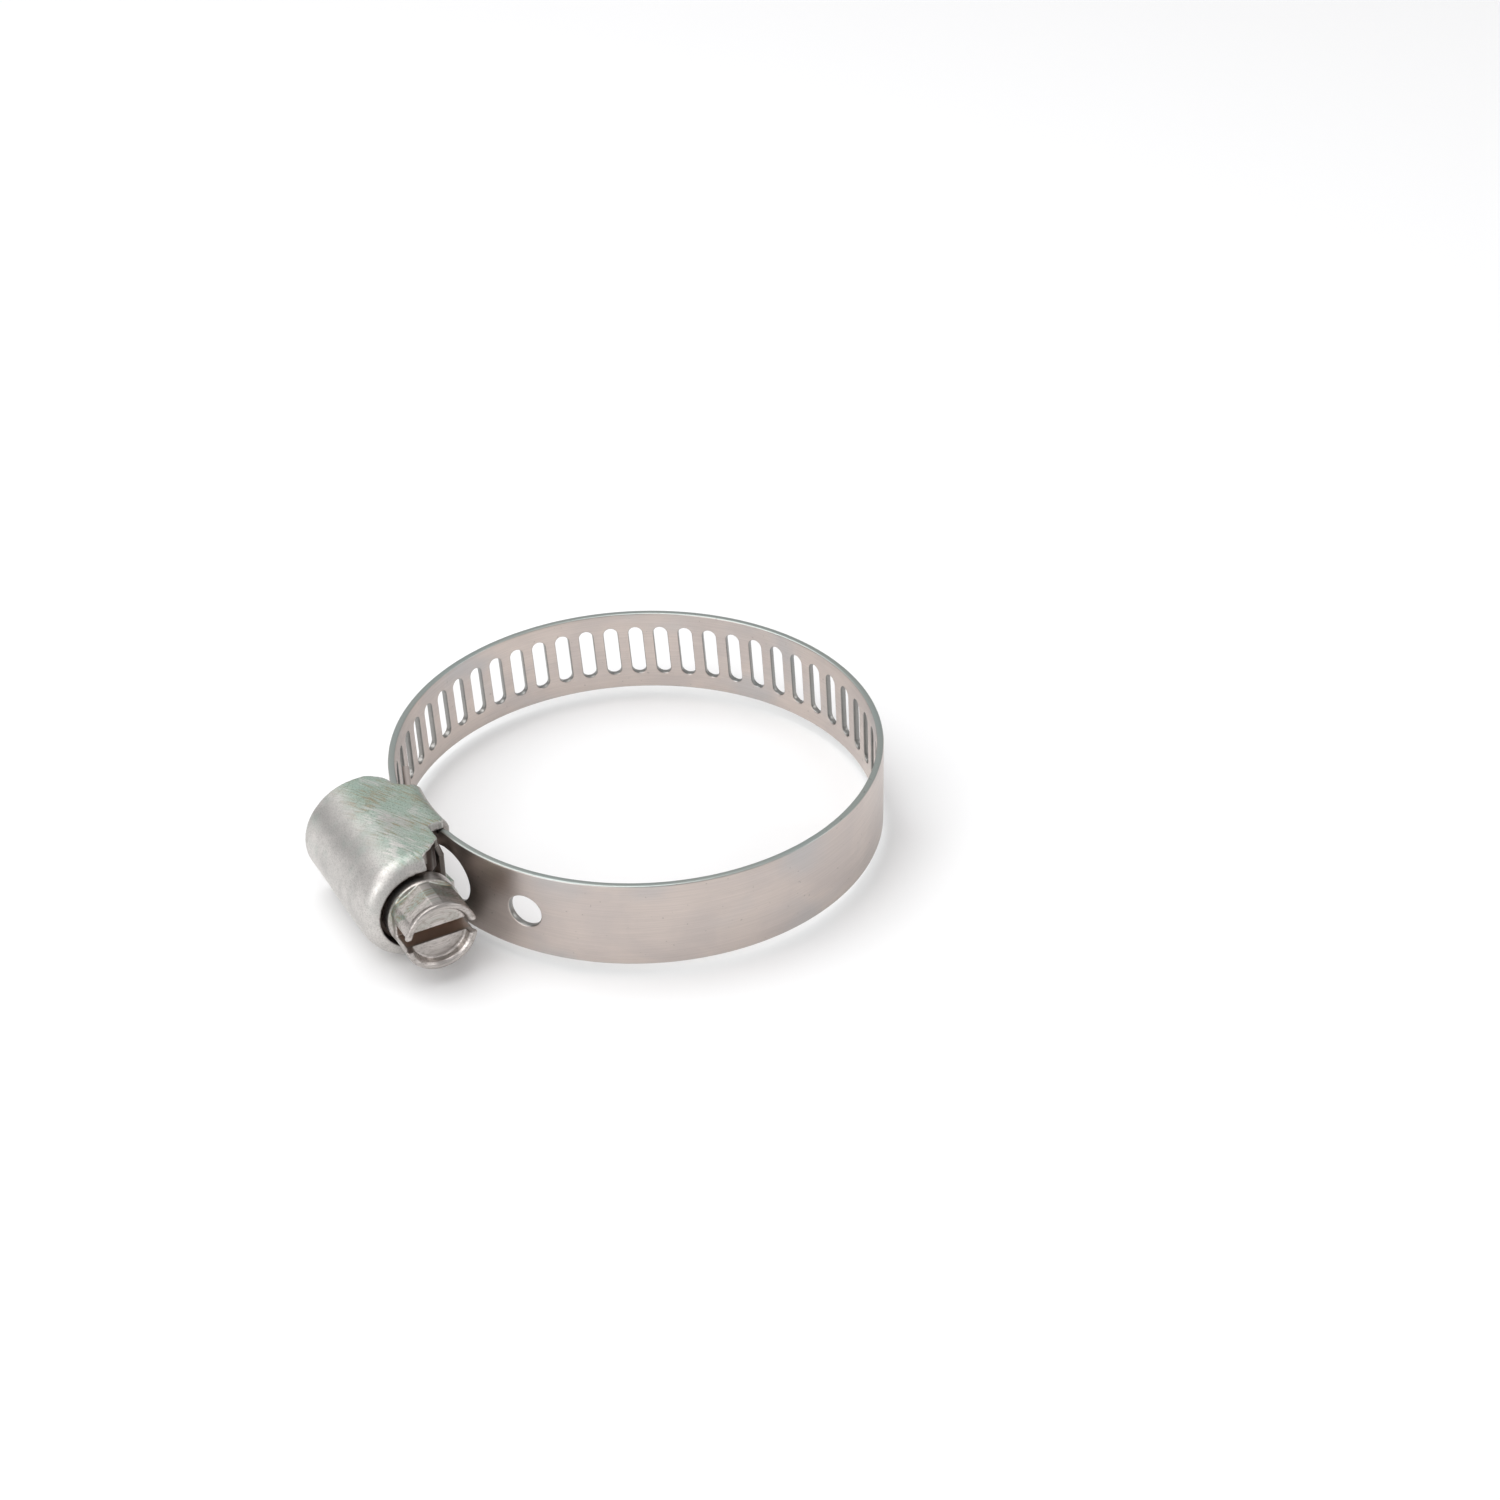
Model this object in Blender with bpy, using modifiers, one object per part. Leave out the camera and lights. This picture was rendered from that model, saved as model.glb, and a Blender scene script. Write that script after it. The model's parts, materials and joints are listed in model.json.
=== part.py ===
"""Miniature worm-drive hose clamp with a perforated band.

The clamp lies on its side: the hose axis is +Z and the screw lies along Y with its head
towards -Y. The script's working frame has its origin at the centre of the ring, and two
coordinates that follow the clamp's own geometry:

  outward  distance from the hose axis along -X, through the housing
  along    distance along the screw, counted towards its head (-Y)

Dimensions are in millimetres and become metres where a mesh is made.
"""

from math import cos, pi, radians, sin, sqrt, tan

import bmesh
import bpy
from mathutils import Matrix, Vector

MM = 0.001
WELD_DISTANCE = 1e-7        # metres, as are all distances handed to bmesh's own tests
SHARP_ANGLE = radians(35)

# Band: one strip, 8 mm (5/16 in) wide, wound once round the hose.
BAND_WIDTH = 8.0
BAND_THICKNESS = 0.6
START_RADIUS = 20.25        # middle of the strip where it leaves the housing
SPIRAL_GROWTH = 1.30        # gained over the turn, so that the tail lies outside the start
SLOT_PITCH = 2.33           # also the lead of the worm
SLOT_WIDTH = 1.3
SLOT_HEIGHT = 5.0
SLOT_SLANT = radians(3.5)   # the slots lean with the worm's thread
FIRST_SLOT = 22             # slots are counted from the first hinge
LAST_SLOT = 56
HOLE_DIAMETER = 3.0
HOLE_ARC = 12.4
WINDOW_HEIGHT = 5.0
WINDOW_START = -1.6
WINDOW_END = 6.6
TAIL_TIP = 136.2            # arc length at the end of the slotted tail
TIP_CHAMFER = 1.2

# The flexible strip is divided into short lengths, hinged at the middle of a slot.
LENGTH_COUNT = 19
SLOTS_PER_LENGTH = 3
LENGTH_ARC = SLOTS_PER_LENGTH * SLOT_PITCH
FIRST_HINGE = 4.20
HINGE_GAP = 0.2

# Fixed end of the band: a tongue held between the housing's feet.
TONGUE_WIDTH = 7.6
TONGUE_RADIUS = 20.45
TONGUE_END = -7.4
TONGUE_CURL = 0.1           # the tongue's end turns in to the hose by this much
CURL_START = -4.0
CURL_LENGTH = 2.0
SHOULDER_START = 3.1        # from here on the strip has its full width
JOGGLE_START = 2.7
JOGGLE_END = 3.6

# Screw.
AXIS_OUTWARD = 24.1
WORM_CREST_RADIUS = 2.70
WORM_CORE_RADIUS = 1.95
THREAD_CREST_WIDTH = 0.30
THREAD_ROOT_WIDTH = 0.80
THREAD_START = -4.5
THREAD_TURNS = 3.5
THREAD_STEPS = 28           # per turn
THREAD_PHASE = 0.21         # crest ahead of the slot's middle, towards the head, at rest
CORE_END = -4.8
PILOT_RADIUS = 1.6
PILOT_END = -5.4
NECK_RADIUS = 2.1
NECK_START = 4.7
FLANGE_RADIUS = 3.25
FLANGE_START = 6.6
FLANGE_END = 8.1
HEX_ACROSS_FLATS = 5.9
HEX_CORNER_RADIUS = 3.18    # the hexagon's corners are rounded off
HEX_END = 10.8
COLLAR_RADIUS = 3.2
HEAD_END = 11.6
RECESS_RADIUS = 2.55
RECESS_DEPTH = 0.8
DRIVER_SLOT_WIDTH = 1.25
DRIVER_SLOT_DEPTH = 2.7
SCREW_EDGE = 0.2            # broken edges of the screw

# Housing: a D-shaped stamped shell round the screw, folded under the band as two feet.
BARREL_RADIUS = 5.0
BARREL_STEPS = 28
WALL = 0.85
FOOT_INNER = 19.5
FOOT_THICKNESS = 0.55
FOOT_GAP = 3.6              # open strip between the two feet
BEND_RADIUS = 1.3
BEND_INNER_RADIUS = 0.4
BARREL_FAR = -6.1
BARREL_NEAR = 7.4
BARREL_FLOOR = 22.0         # the barrel's block reaches down to here
SADDLE_TOP = 22.6           # and the block for the feet reaches up to here
SADDLE_NEAR = 6.7
DOME_RADIUS = 1.5
END_WALL_BACK = 5.5
END_WALL_FRONT = 6.4
MOUTH_RADIUS = 3.65
NECK_HOLE_RADIUS = 2.4

# Side view of the housing's two ends, as (along, outward) corners.
FOOT_NEAR = 2.8
NOTCH_START = 3.2
NOTCH_RISE = 0.2            # the notch at the near end starts this far above the feet
FLAT_CORNER = (5.3, 21.36)
CHEEK_CORNER = (6.35, 22.7)
DOME_CORNER = (6.65, 23.3)
FOOT_FAR = -3.0
FAR_CORNERS = [(FOOT_FAR, 20.5), (-3.8, 21.4), (-5.0, 21.9), (-5.7, 22.6), (BARREL_FAR, 23.2)]

# The stamped sides follow the ring below this distance, and are straight above it.
FOLLOW_START = 22.2
FOLLOW_BLEND = 1.4

MIDDLE_HEIGHT = BARREL_RADIUS
CUT_STEP = SLOT_PITCH / 2
HOUSING_CUTS = 10           # an even number puts a flat facet of each foot in the middle
OVERLAP = 0.15              # joined shapes run into each other by this much
CUTTER_LOW = 17.0           # cutters reach from here, inside the ring,
CUTTER_REACH = 12.0         # and this far along the screw and up and down


def turn_at(arc):
    """Angle turned about the hose axis after an arc length of the band's spiral."""
    growth = SPIRAL_GROWTH / (2 * pi)
    return (sqrt(START_RADIUS ** 2 + 2 * growth * arc) - START_RADIUS) / growth


def spiral_point(turn):
    """Middle of the strip at a turn, as (x, y) from the centre of the ring."""
    growth = SPIRAL_GROWTH / (2 * pi)
    x = -START_RADIUS * cos(turn) - growth * (turn * cos(turn) - sin(turn))
    y = -START_RADIUS * sin(turn) - growth * (turn * sin(turn) + cos(turn) - 1)
    return x, y


# The part's origin is under the middle of its bounding box.
RIGHT_EXTENT = spiral_point(pi)[0] + BAND_THICKNESS / 2
LEFT_EXTENT = AXIS_OUTWARD + BARREL_RADIUS
NEAR_EXTENT = -spiral_point(pi / 2)[1] + BAND_THICKNESS / 2
FAR_EXTENT = spiral_point(3 * pi / 2)[1] + BAND_THICKNESS / 2
RING_X = (LEFT_EXTENT - RIGHT_EXTENT) / 2
RING_Y = (NEAR_EXTENT - FAR_EXTENT) / 2


def smooth_step(value):
    value = min(1.0, max(0.0, value))
    return value * value * (3 - 2 * value)


# ---------------------------------------------------------------- scene and materials

def clear_scene():
    for existing in list(bpy.data.objects):
        bpy.data.objects.remove(existing, do_unlink=True)


def new_collection(name):
    collection = bpy.data.collections.new(name)
    bpy.context.scene.collection.children.link(collection)
    return collection


def steel(name, colour, roughness):
    material = bpy.data.materials.new(name)
    material.use_nodes = True
    shader = material.node_tree.nodes["Principled BSDF"]
    shader.inputs["Base Color"].default_value = (*colour, 1.0)
    shader.inputs["Metallic"].default_value = 1.0
    shader.inputs["Roughness"].default_value = roughness
    return material


def face_outwards(mesh_data):
    """Make the faces of a closed solid agree, and point out of it."""
    bmesh.ops.recalc_face_normals(mesh_data, faces=mesh_data.faces)
    if mesh_data.calc_volume(signed=True) < 0:
        bmesh.ops.reverse_faces(mesh_data, faces=mesh_data.faces)


def object_from_bmesh(mesh_data, name, collection):
    mesh = bpy.data.meshes.new(name)
    mesh_data.to_mesh(mesh)
    mesh_data.free()
    shape = bpy.data.objects.new(name, mesh)
    collection.objects.link(shape)
    return shape


def as_cutter(shape):
    shape.hide_render = True
    shape.display_type = "WIRE"
    return shape


# ---------------------------------------------------------------- building blocks

def flat_solid(name, outlines, thickness, placement, collection):
    """Extrude closed outlines, given in millimetres, as one mesh object."""
    curve = bpy.data.curves.new(name, "CURVE")
    curve.dimensions = "2D"
    curve.fill_mode = "BOTH"
    curve.extrude = thickness / 2 * MM
    for outline in outlines:
        spline = curve.splines.new("POLY")
        spline.points.add(len(outline) - 1)
        spline.use_cyclic_u = True
        for point, (x, y) in zip(spline.points, outline):
            point.co = (x * MM, y * MM, 0, 1)
    source = bpy.data.objects.new(name + "_outline", curve)
    collection.objects.link(source)
    depsgraph = bpy.context.evaluated_depsgraph_get()
    mesh = bpy.data.meshes.new_from_object(source.evaluated_get(depsgraph))
    bpy.data.objects.remove(source, do_unlink=True)
    mesh.transform(placement)
    welded = bmesh.new()
    welded.from_mesh(mesh)
    bmesh.ops.remove_doubles(welded, verts=welded.verts, dist=WELD_DISTANCE)
    face_outwards(welded)
    return object_from_bmesh(welded, name, collection)


def side_placement(height):
    """An outline in (along, outward), extruded up and down from a height."""
    return Matrix(((0, -1, 0, 0), (-1, 0, 0, 0), (0, 0, -1, height * MM), (0, 0, 0, 1)))


def end_placement(along):
    """An outline in (outward, height), extruded along the screw from a point on it."""
    return Matrix(((-1, 0, 0, 0), (0, 0, 1, -along * MM), (0, 1, 0, 0), (0, 0, 0, 1)))


def arc_points(centre, radius, start, end, steps):
    return [
        (centre[0] + radius * cos(start + (end - start) * i / steps),
         centre[1] + radius * sin(start + (end - start) * i / steps))
        for i in range(steps + 1)
    ]


def obround(centre, width, height, slant=0.0, steps=5):
    """A slot with round ends, leaning by an angle; width runs along the strip."""
    radius = min(width, height) / 2
    if height > width:
        reach = height / 2 - radius
        points = arc_points((0, reach), radius, 0, pi, steps)
        points += arc_points((0, -reach), radius, pi, 2 * pi, steps)
    else:
        reach = width / 2 - radius
        points = arc_points((reach, 0), radius, -pi / 2, pi / 2, 2 * steps)
        points += arc_points((-reach, 0), radius, pi / 2, 3 * pi / 2, 2 * steps)
    return [(centre[0] + x + y * tan(slant), centre[1] + y) for x, y in points]


def boolean(target, tool, operation):
    step = target.modifiers.new(operation.title(), "BOOLEAN")
    step.operation = operation
    step.solver = "EXACT"
    step.object = tool


def cut_and_bend(source, name, cuts, axis, bend, collection):
    """Apply the modifiers, divide the solid along one axis and move each vertex."""
    depsgraph = bpy.context.evaluated_depsgraph_get()
    mesh = bpy.data.meshes.new_from_object(source.evaluated_get(depsgraph))
    bpy.data.objects.remove(source, do_unlink=True)
    divided = bmesh.new()
    divided.from_mesh(mesh)
    for position in cuts:
        bmesh.ops.bisect_plane(
            divided, geom=divided.verts[:] + divided.edges[:] + divided.faces[:],
            plane_co=axis * (position * MM), plane_no=axis, dist=WELD_DISTANCE)
    for vertex in divided.verts:
        vertex.co = Vector(bend(*(vertex.co / MM))) * MM
    return object_from_bmesh(divided, name, collection)


def finish(shape, material, pivot, parent=None):
    """Give the object its material, and put its origin at the pivot, in metres."""
    offset = Vector(pivot) * MM
    shape.data.transform(Matrix.Translation(-offset))
    shape.location = offset
    shape.parent = parent
    shape.data.materials.clear()
    shape.data.materials.append(material)
    shape.data.shade_smooth()
    shape.data.set_sharp_from_angle(angle=SHARP_ANGLE)


# ---------------------------------------------------------------- band

def bend_to_spiral(arc, height, depth):
    """Strip coordinates to the ring: depth is outward from the middle of the strip."""
    turn = turn_at(arc)
    x, y = spiral_point(turn)
    return x - depth * cos(turn), y - depth * sin(turn), height


def bend_to_tongue(arc, height, depth):
    """The tongue rides outside the ring's line, and steps in to it past the feet."""
    step = smooth_step((arc - JOGGLE_START) / (JOGGLE_END - JOGGLE_START))
    radius = TONGUE_RADIUS + (START_RADIUS - TONGUE_RADIUS) * step
    curl = TONGUE_CURL * smooth_step((CURL_START - arc) / CURL_LENGTH)
    turn = arc / START_RADIUS
    reach = radius - curl + depth
    return -reach * cos(turn), -reach * sin(turn), height


def band_openings(start, end):
    """The openings that a stretch of the band has: slots, round hole and window."""
    openings = []
    for number in range(FIRST_SLOT, LAST_SLOT + 1):
        arc = FIRST_HINGE + number * SLOT_PITCH
        if start - SLOT_WIDTH < arc < end + SLOT_WIDTH:
            openings.append(obround((arc, MIDDLE_HEIGHT), SLOT_WIDTH, SLOT_HEIGHT, SLOT_SLANT))
    if start < HOLE_ARC < end:
        openings.append(arc_points((HOLE_ARC, MIDDLE_HEIGHT), HOLE_DIAMETER / 2, 0, 2 * pi, 20)[:-1])
    if start < WINDOW_END:
        middle = ((WINDOW_START + WINDOW_END) / 2, MIDDLE_HEIGHT)
        openings.append(obround(middle, WINDOW_END - WINDOW_START, WINDOW_HEIGHT))
    return openings


def plain_outline(start, end, chamfer=0.0):
    """A stretch of strip in (arc, height); the tail's tip has its corners cut off."""
    low = MIDDLE_HEIGHT - BAND_WIDTH / 2
    high = MIDDLE_HEIGHT + BAND_WIDTH / 2
    if not chamfer:
        return [(start, low), (end, low), (end, high), (start, high)]
    return [(start, low), (end - chamfer, low), (end, low + chamfer),
            (end, high - chamfer), (end - chamfer, high), (start, high)]


def tongue_outline(start, end):
    """The fixed end: a narrowed tongue, with shoulders where the full width begins."""
    low = MIDDLE_HEIGHT - TONGUE_WIDTH / 2
    full_low = MIDDLE_HEIGHT - BAND_WIDTH / 2
    lower = [(start, low), (SHOULDER_START, low), (SHOULDER_START, full_low), (end, full_low)]
    upper = [(arc, 2 * MIDDLE_HEIGHT - height) for arc, height in reversed(lower)]
    return lower + upper


def strip(name, outline, bend, collection):
    """One stretch of the band: cut out flat, punched, and bent to its line."""
    start = min(arc for arc, height in outline)
    end = max(arc for arc, height in outline)
    plate = flat_solid(name + "_flat", [outline], BAND_THICKNESS, Matrix(), collection)
    openings = band_openings(start, end)
    if openings:
        punch = flat_solid(name + "_punch", openings, 3 * BAND_THICKNESS, Matrix(), CUTTERS)
        boolean(plate, as_cutter(punch), "DIFFERENCE")
    first = FIRST_HINGE + CUT_STEP * round((start - FIRST_HINGE) / CUT_STEP)
    count = int((end - first) / CUT_STEP) + 1
    cuts = [first + CUT_STEP * i for i in range(count)]
    cuts = [cut for cut in cuts if start + HINGE_GAP < cut < end - HINGE_GAP]
    return cut_and_bend(plate, name, cuts, Vector((1, 0, 0)), bend, collection)


def build_band(collection, material, frame):
    tongue = strip("band_fixed_end", tongue_outline(TONGUE_END, FIRST_HINGE - HINGE_GAP / 2),
                   bend_to_tongue, collection)
    finish(tongue, material, (-TONGUE_RADIUS, 0, 0), frame)
    for number in range(LENGTH_COUNT):
        hinge = FIRST_HINGE + number * LENGTH_ARC
        start = hinge + HINGE_GAP / 2
        if number < LENGTH_COUNT - 1:
            name = "band_length_%02d" % (number + 1)
            outline = plain_outline(start, hinge + LENGTH_ARC - HINGE_GAP / 2)
        else:
            name = "band_tail"
            outline = plain_outline(start, TAIL_TIP, TIP_CHAMFER)
        piece = strip(name, outline, bend_to_spiral, collection)
        finish(piece, material, (*spiral_point(turn_at(hinge)), MIDDLE_HEIGHT), frame)


# ---------------------------------------------------------------- screw

def turned_solid(name, profile, collection, steps=40):
    """Turn a profile of (radius, along) round the screw's axis; the profile starts and
    ends on the axis, and runs from the head end to the pilot end."""
    turned = bmesh.new()
    points = [turned.verts.new((radius * MM, 0, along * MM)) for radius, along in profile]
    for first, second in zip(points, points[1:]):
        turned.edges.new((first, second))
    mesh = bpy.data.meshes.new(name)
    turned.to_mesh(mesh)
    turned.free()
    shape = bpy.data.objects.new(name, mesh)
    collection.objects.link(shape)
    screw = shape.modifiers.new("Turn", "SCREW")
    screw.steps = steps
    screw.render_steps = steps
    screw.use_merge_vertices = True
    screw.merge_threshold = 0.00001
    return shape


def worm_thread(collection):
    """The worm's single right-hand thread, swept as a closed helical ridge."""
    steps = int(THREAD_STEPS * THREAD_TURNS)
    root = WORM_CORE_RADIUS - OVERLAP
    # A crest faces the band, at -outward, where a slot's middle lies at rest.
    slot_along = FIRST_HINGE + (LAST_SLOT - 2) * SLOT_PITCH - band_loop_length()
    crest_along = slot_along + THREAD_PHASE
    start_turn = (THREAD_START - crest_along) / SLOT_PITCH
    profile = [(root, -THREAD_ROOT_WIDTH / 2), (WORM_CREST_RADIUS, -THREAD_CREST_WIDTH / 2),
               (WORM_CREST_RADIUS, THREAD_CREST_WIDTH / 2), (root, THREAD_ROOT_WIDTH / 2)]
    ridge = bmesh.new()
    corners = [ridge.verts.new((-radius * MM, 0, (THREAD_START + offset) * MM))
               for radius, offset in profile]
    face = ridge.faces.new(corners)
    # Seen from the head, a right-hand thread climbs towards the viewer anticlockwise.
    bmesh.ops.rotate(ridge, verts=ridge.verts, cent=(0, 0, 0),
                     matrix=Matrix.Rotation(2 * pi * start_turn, 3, "Z"))
    bmesh.ops.spin(ridge, geom=[face], cent=(0, 0, 0), axis=(0, 0, 1),
                   dvec=(0, 0, SLOT_PITCH / THREAD_STEPS * MM),
                   angle=2 * pi * steps / THREAD_STEPS, steps=steps, use_duplicate=False)
    face_outwards(ridge)
    return object_from_bmesh(ridge, "worm_thread", collection)


def band_loop_length():
    """Arc length of one full turn, back to the middle of the housing."""
    return 2 * pi * START_RADIUS + pi * SPIRAL_GROWTH


def cylinder(name, radius, start, end, segments, collection):
    """A cylinder on the screw's axis, or a prism with few segments."""
    solid = bmesh.new()
    bmesh.ops.create_cone(
        solid, cap_ends=True, segments=segments, radius1=radius * MM, radius2=radius * MM,
        depth=(end - start) * MM,
        matrix=Matrix.Translation((0, 0, (start + end) / 2 * MM)))
    return object_from_bmesh(solid, name, collection)


def box(name, low, high, collection):
    solid = bmesh.new()
    size = [(b - a) * MM for a, b in zip(low, high)]
    middle = [(a + b) / 2 * MM for a, b in zip(low, high)]
    bmesh.ops.create_cube(solid, size=1.0)
    bmesh.ops.scale(solid, verts=solid.verts, vec=size)
    bmesh.ops.translate(solid, verts=solid.verts, vec=middle)
    return object_from_bmesh(solid, name, collection)


def build_screw(collection, material, frame):
    """Worm, neck, flange and slotted hex head with a thin collar, in one piece.

    It is modelled with its axis along Z and its head up, and then laid down."""
    under_hex = HEX_ACROSS_FLATS / 2 - SCREW_EDGE
    profile = [(0, HEAD_END), (COLLAR_RADIUS - SCREW_EDGE, HEAD_END),
               (COLLAR_RADIUS, HEAD_END - SCREW_EDGE), (COLLAR_RADIUS, HEX_END),
               (under_hex, HEX_END - SCREW_EDGE), (under_hex, FLANGE_END),
               (FLANGE_RADIUS - SCREW_EDGE, FLANGE_END), (FLANGE_RADIUS, FLANGE_END - SCREW_EDGE),
               (FLANGE_RADIUS, FLANGE_START), (NECK_RADIUS, FLANGE_START),
               (NECK_RADIUS, NECK_START), (WORM_CORE_RADIUS, NECK_START - SCREW_EDGE),
               (WORM_CORE_RADIUS, CORE_END), (PILOT_RADIUS, CORE_END - SCREW_EDGE),
               (PILOT_RADIUS, PILOT_END), (0, PILOT_END)]
    screw = turned_solid("worm_screw_turned", profile, collection)
    hexagon = cylinder("hexagon", HEX_ACROSS_FLATS / sqrt(3), FLANGE_END - OVERLAP,
                       HEX_END + OVERLAP, 6, CUTTERS)
    rounding = cylinder("hexagon_rounding", HEX_CORNER_RADIUS, 0, CUTTER_REACH, 40, CUTTERS)
    boolean(as_cutter(hexagon), as_cutter(rounding), "INTERSECT")
    boolean(screw, hexagon, "UNION")
    boolean(screw, as_cutter(worm_thread(CUTTERS)), "UNION")
    recess = cylinder("recess", RECESS_RADIUS, HEAD_END - RECESS_DEPTH, HEAD_END + 1, 32, CUTTERS)
    boolean(screw, as_cutter(recess), "DIFFERENCE")
    half = DRIVER_SLOT_WIDTH / 2
    slot = box("driver_slot", (-CUTTER_REACH, -half, HEAD_END - DRIVER_SLOT_DEPTH),
               (CUTTER_REACH, half, HEAD_END + 1), CUTTERS)
    boolean(screw, as_cutter(slot), "DIFFERENCE")
    # Axis Z of the turned screw becomes -Y, its X stays outward and its Y becomes up.
    lay_down = Matrix(((-1, 0, 0), (0, 0, -1), (0, -1, 0)))

    def place(x, y, z):
        laid = lay_down @ Vector((x, y, z))
        return laid.x - AXIS_OUTWARD, laid.y, laid.z + MIDDLE_HEIGHT

    piece = cut_and_bend(screw, "worm_screw", [], Vector((0, 0, 1)), place, collection)
    finish(piece, material, (-AXIS_OUTWARD, 0, MIDDLE_HEIGHT), frame)


# ---------------------------------------------------------------- housing

def half_round(radius):
    """The outer half of a circle round the screw, in (outward, height)."""
    return arc_points((AXIS_OUTWARD, MIDDLE_HEIGHT), radius, -pi / 2, pi / 2, BARREL_STEPS)


def arch(radius, floor):
    """Half-round top and straight sides, in (outward, height)."""
    return half_round(radius) + [(floor, MIDDLE_HEIGHT + radius), (floor, MIDDLE_HEIGHT - radius)]


def d_outline(radius, floor, corner):
    """Half-round top and straight sides down to the feet, with rounded lower corners."""
    upper = arc_points((floor + corner, MIDDLE_HEIGHT + radius - corner), corner, pi / 2, pi, 5)
    lower = arc_points((floor + corner, MIDDLE_HEIGHT - radius + corner), corner,
                       pi, 3 * pi / 2, 5)
    return half_round(radius) + upper + lower


def along_solid(name, outline, start, end, collection):
    """An outline in (outward, height), extruded between two places along the screw."""
    return flat_solid(name, [outline], end - start, end_placement((start + end) / 2), collection)


def side_solid(name, outline):
    """An outline in (along, outward), extruded right through the housing."""
    return flat_solid(name, [outline], 2 * CUTTER_REACH, side_placement(MIDDLE_HEIGHT), CUTTERS)


def barrel_block(collection):
    """The shell's outside round the screw, with the near end rounded over."""
    block = along_solid("barrel_block", arch(BARREL_RADIUS, BARREL_FLOOR), BARREL_FAR,
                        BARREL_NEAR, collection)
    rounded = bmesh.new()
    rounded.from_mesh(block.data)
    near = -BARREL_NEAR * MM
    edges = [edge for edge in rounded.edges
             if all(abs(vertex.co.y - near) < WELD_DISTANCE for vertex in edge.verts)
             and edge.calc_face_angle(0) > SHARP_ANGLE]
    bmesh.ops.bevel(rounded, geom=edges, offset=DOME_RADIUS * MM, segments=5, profile=0.5,
                    affect="EDGES")
    rounded.to_mesh(block.data)
    rounded.free()
    return block


def follow_drop(along, outward):
    """How far the stamped sides drop at a place, where they follow the ring."""
    share = 1 - smooth_step((outward - FOLLOW_START) / FOLLOW_BLEND)
    return share * along ** 2 / (2 * START_RADIUS)


def bend_housing(x, y, z):
    return x + follow_drop(-y, -x), y, z


def before_following(corner):
    """Where a corner of the finished side view lies before the sides are bent."""
    along, outward = corner
    place = outward
    for _ in range(30):
        place += (outward + follow_drop(along, place) - place) / 2
    return along, place


def build_housing(collection, material, frame):
    block = barrel_block(collection)
    sides = along_solid("saddle_sides", d_outline(BARREL_RADIUS, FOOT_INNER, BEND_RADIUS),
                        BARREL_FAR, SADDLE_NEAR, CUTTERS)
    trim = box("saddle_trim", (-40, -CUTTER_REACH, -1), (-SADDLE_TOP, CUTTER_REACH, CUTTER_REACH),
               CUTTERS)
    boolean(as_cutter(sides), as_cutter(trim), "DIFFERENCE")
    boolean(block, sides, "UNION")
    foot_top = FOOT_INNER + FOOT_THICKNESS
    inside = along_solid("shell_inside",
                         d_outline(BARREL_RADIUS - WALL, foot_top, BEND_INNER_RADIUS),
                         -CUTTER_REACH, END_WALL_BACK, CUTTERS)
    boolean(block, as_cutter(inside), "DIFFERENCE")
    feet_gap = box("feet_gap", (-foot_top - BEND_INNER_RADIUS, -CUTTER_REACH,
                                MIDDLE_HEIGHT - FOOT_GAP / 2),
                   (-CUTTER_LOW, CUTTER_REACH, MIDDLE_HEIGHT + FOOT_GAP / 2), CUTTERS)
    boolean(block, as_cutter(feet_gap), "DIFFERENCE")
    mouth = along_solid("mouth", arch(MOUTH_RADIUS, CUTTER_LOW), END_WALL_FRONT, CUTTER_REACH,
                        CUTTERS)
    boolean(block, as_cutter(mouth), "DIFFERENCE")
    neck_hole = along_solid("neck_hole", arch(NECK_HOLE_RADIUS, CUTTER_LOW), END_WALL_BACK - 1,
                            CUTTER_REACH, CUTTERS)
    boolean(block, as_cutter(neck_hole), "DIFFERENCE")
    notch_low = foot_top + NOTCH_RISE
    near_corners = [(NOTCH_START, FLAT_CORNER[1]), FLAT_CORNER, CHEEK_CORNER, DOME_CORNER]
    near_end = [(FOOT_NEAR, CUTTER_LOW), (FOOT_NEAR, notch_low), (NOTCH_START, notch_low),
                *[before_following(corner) for corner in near_corners],
                (CUTTER_REACH, DOME_CORNER[1]), (CUTTER_REACH, CUTTER_LOW)]
    boolean(block, as_cutter(side_solid("near_end_cut", near_end)), "DIFFERENCE")
    far_end = [(-CUTTER_REACH, CUTTER_LOW), (FOOT_FAR, CUTTER_LOW),
               *[before_following(corner) for corner in FAR_CORNERS],
               (-CUTTER_REACH, FAR_CORNERS[-1][1])]
    boolean(block, as_cutter(side_solid("far_end_cut", far_end)), "DIFFERENCE")
    cuts = [CUT_STEP * (i - (HOUSING_CUTS - 1) / 2) for i in range(HOUSING_CUTS)]
    piece = cut_and_bend(block, "housing", cuts, Vector((0, 1, 0)), bend_housing, collection)
    finish(piece, material, (-AXIS_OUTWARD, 0, MIDDLE_HEIGHT), frame)


# ---------------------------------------------------------------- the clamp

clear_scene()
CLAMP = new_collection("hose_clamp")
CUTTERS = new_collection("cutters")

ring_centre = bpy.data.objects.new("ring_centre", None)
ring_centre.location = (RING_X * MM, RING_Y * MM, 0)
CLAMP.objects.link(ring_centre)

band_steel = steel("band_steel", (0.58, 0.55, 0.53), 0.34)
housing_steel = steel("housing_steel", (0.55, 0.55, 0.52), 0.40)
screw_steel = steel("screw_steel", (0.60, 0.59, 0.57), 0.32)

build_housing(CLAMP, housing_steel, ring_centre)
build_screw(CLAMP, screw_steel, ring_centre)
build_band(CLAMP, band_steel, ring_centre)
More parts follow.
